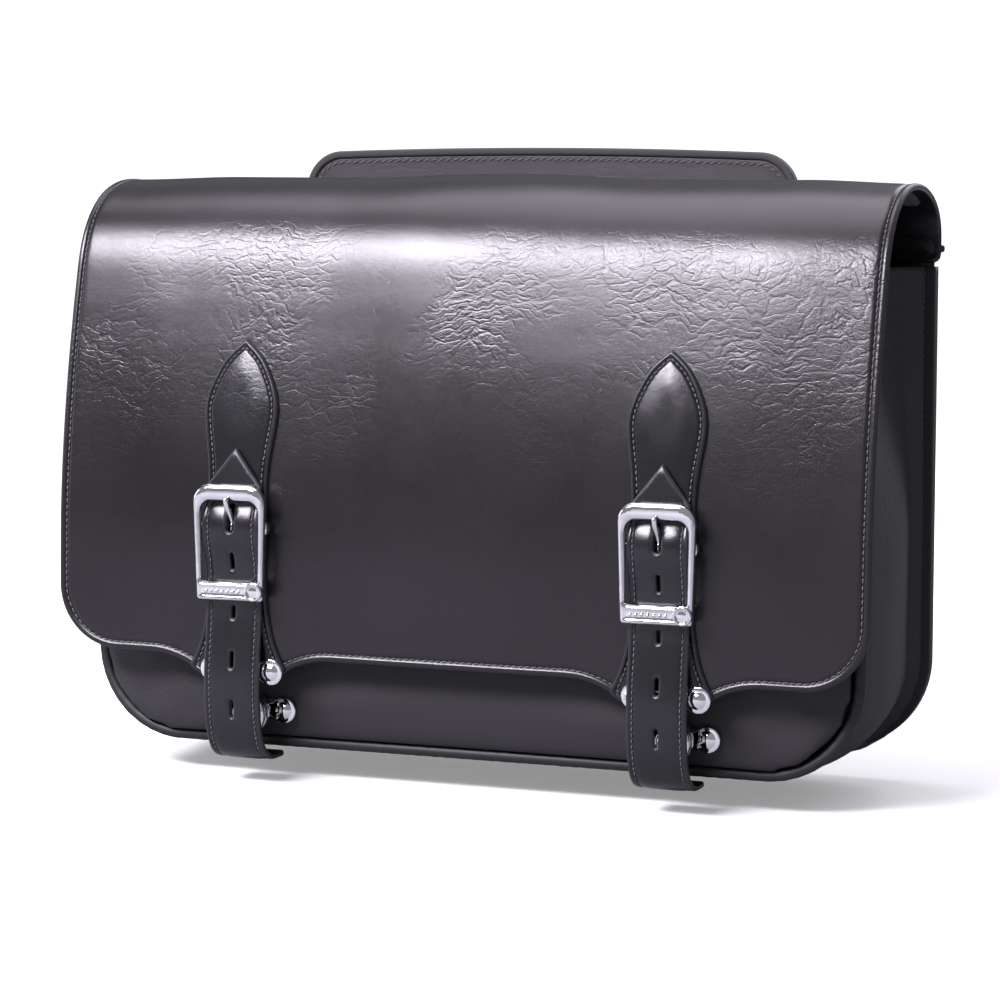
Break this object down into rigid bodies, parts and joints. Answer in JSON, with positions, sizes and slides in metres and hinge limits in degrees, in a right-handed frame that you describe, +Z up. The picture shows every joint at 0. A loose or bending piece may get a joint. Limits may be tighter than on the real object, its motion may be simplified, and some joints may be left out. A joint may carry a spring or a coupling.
{
  "type": "motorcycle saddlebag",
  "caption": "Black leather motorcycle saddlebag with a raised mounting yoke, a hinged flap, and buckled straps over quick-release clasps.",
  "frame": {"origin": "centre of the four mounting bolts on the flat rear face of the mounting yoke", "axes": "+Z up, -Y out of the bag's front, +Y towards the motorcycle, +X to the right of someone facing the front"},
  "size_m": [0.42, 0.1605, 0.3017],
  "materials": {
    "flap_leather": "black full-grain cowhide, soft satin sheen, fine pores and drawn creases",
    "bag_leather": "black full-grain cowhide, satin",
    "gusset_leather": "black soft cowhide, satin, puckered along its seams",
    "yoke_leather": "black firm cowhide with turned and stitched edge",
    "patch_leather": "black firm cowhide, stitched round its edge",
    "strap_leather": "black smooth bridle leather, twin rows of stitching",
    "edge_binding": "black thin leather binding, stitched",
    "piping": "black glazed leather cord",
    "lining_fabric": "dark grey woven polyester",
    "foam_rubber": "closed-cell foam",
    "stiffener_plastic": "matt polyethylene sheet",
    "zinc_steel": "zinc-plated steel",
    "chrome": "polished nickel-chrome plating"
  },
  "bodies": {
    "bag": {"yoke_cover": "yoke_leather", "yoke_plate": "stiffener_plastic", "yoke_binding": "edge_binding", "standoff_pad": "foam_rubber", "back_panel": "bag_leather", "back_board": "stiffener_plastic", "back_binding": "edge_binding", "gusset": "gusset_leather", "bottom_board": "stiffener_plastic", "front_panel": "bag_leather", "front_piping": "piping", "mouth_binding": "edge_binding", "lining": "lining_fabric", "mount_eyelets": "zinc_steel", "flap_rear": "flap_leather", "flap_welt": "edge_binding", "clasp_base_rivets": "chrome", "left_clasp_base": "chrome", "right_clasp_base": "chrome"},
    "flap": {"flap_cover": "flap_leather", "flap_board": "stiffener_plastic", "flap_padding": "foam_rubber", "flap_lining": "lining_fabric", "hasp_rivets": "chrome", "left_patch": "patch_leather", "left_chape": "strap_leather", "left_buckle_frame": "chrome", "left_strap_upper": "strap_leather", "left_hasp": "chrome", "right_patch": "patch_leather", "right_chape": "strap_leather", "right_buckle_frame": "chrome", "right_strap_upper": "strap_leather", "right_hasp": "chrome"},
    "left_tail": {"left_strap_tail": "strap_leather"},
    "left_prong": {"left_prong": "chrome"},
    "left_button": {"left_button": "chrome"},
    "right_tail": {"right_strap_tail": "strap_leather"},
    "right_prong": {"right_prong": "chrome"},
    "right_button": {"right_button": "chrome"}
  },
  "joints": [
    {"name": "flap_hinge", "type": "hinge", "parent": "bag", "child": "flap", "pos_m": [0, -0.029, 0.0761], "axis": [-1, 0, 0], "range_deg": [0, 115]},
    {"name": "left_tail_lift", "type": "hinge", "parent": "flap", "child": "left_tail", "pos_m": [-0.11, -0.1511, -0.1261], "axis": [-1, 0, 0], "range_deg": [0, 25], "stiffness_Nm_per_rad": 0.05, "springref_deg": -5.73},
    {"name": "left_prong_pivot", "type": "hinge", "parent": "flap", "child": "left_prong", "pos_m": [-0.11, -0.1489, -0.087], "axis": [1, 0, 0], "range_deg": [0, 45], "stiffness_Nm_per_rad": 0.01, "springref_deg": -11.46},
    {"name": "left_button_press", "type": "slide", "parent": "flap", "child": "left_button", "axis": [0, 1, 0], "range_m": [0, 0.0015], "stiffness_N_per_m": 500, "springref_m": -0.002},
    {"name": "right_tail_lift", "type": "hinge", "parent": "flap", "child": "right_tail", "pos_m": [0.11, -0.1511, -0.1261], "axis": [-1, 0, 0], "range_deg": [0, 25], "stiffness_Nm_per_rad": 0.05, "springref_deg": -5.73},
    {"name": "right_prong_pivot", "type": "hinge", "parent": "flap", "child": "right_prong", "pos_m": [0.11, -0.1489, -0.087], "axis": [1, 0, 0], "range_deg": [0, 45], "stiffness_Nm_per_rad": 0.01, "springref_deg": -11.46},
    {"name": "right_button_press", "type": "slide", "parent": "flap", "child": "right_button", "axis": [0, 1, 0], "range_m": [0, 0.0015], "stiffness_N_per_m": 500, "springref_m": -0.002}
  ]
}
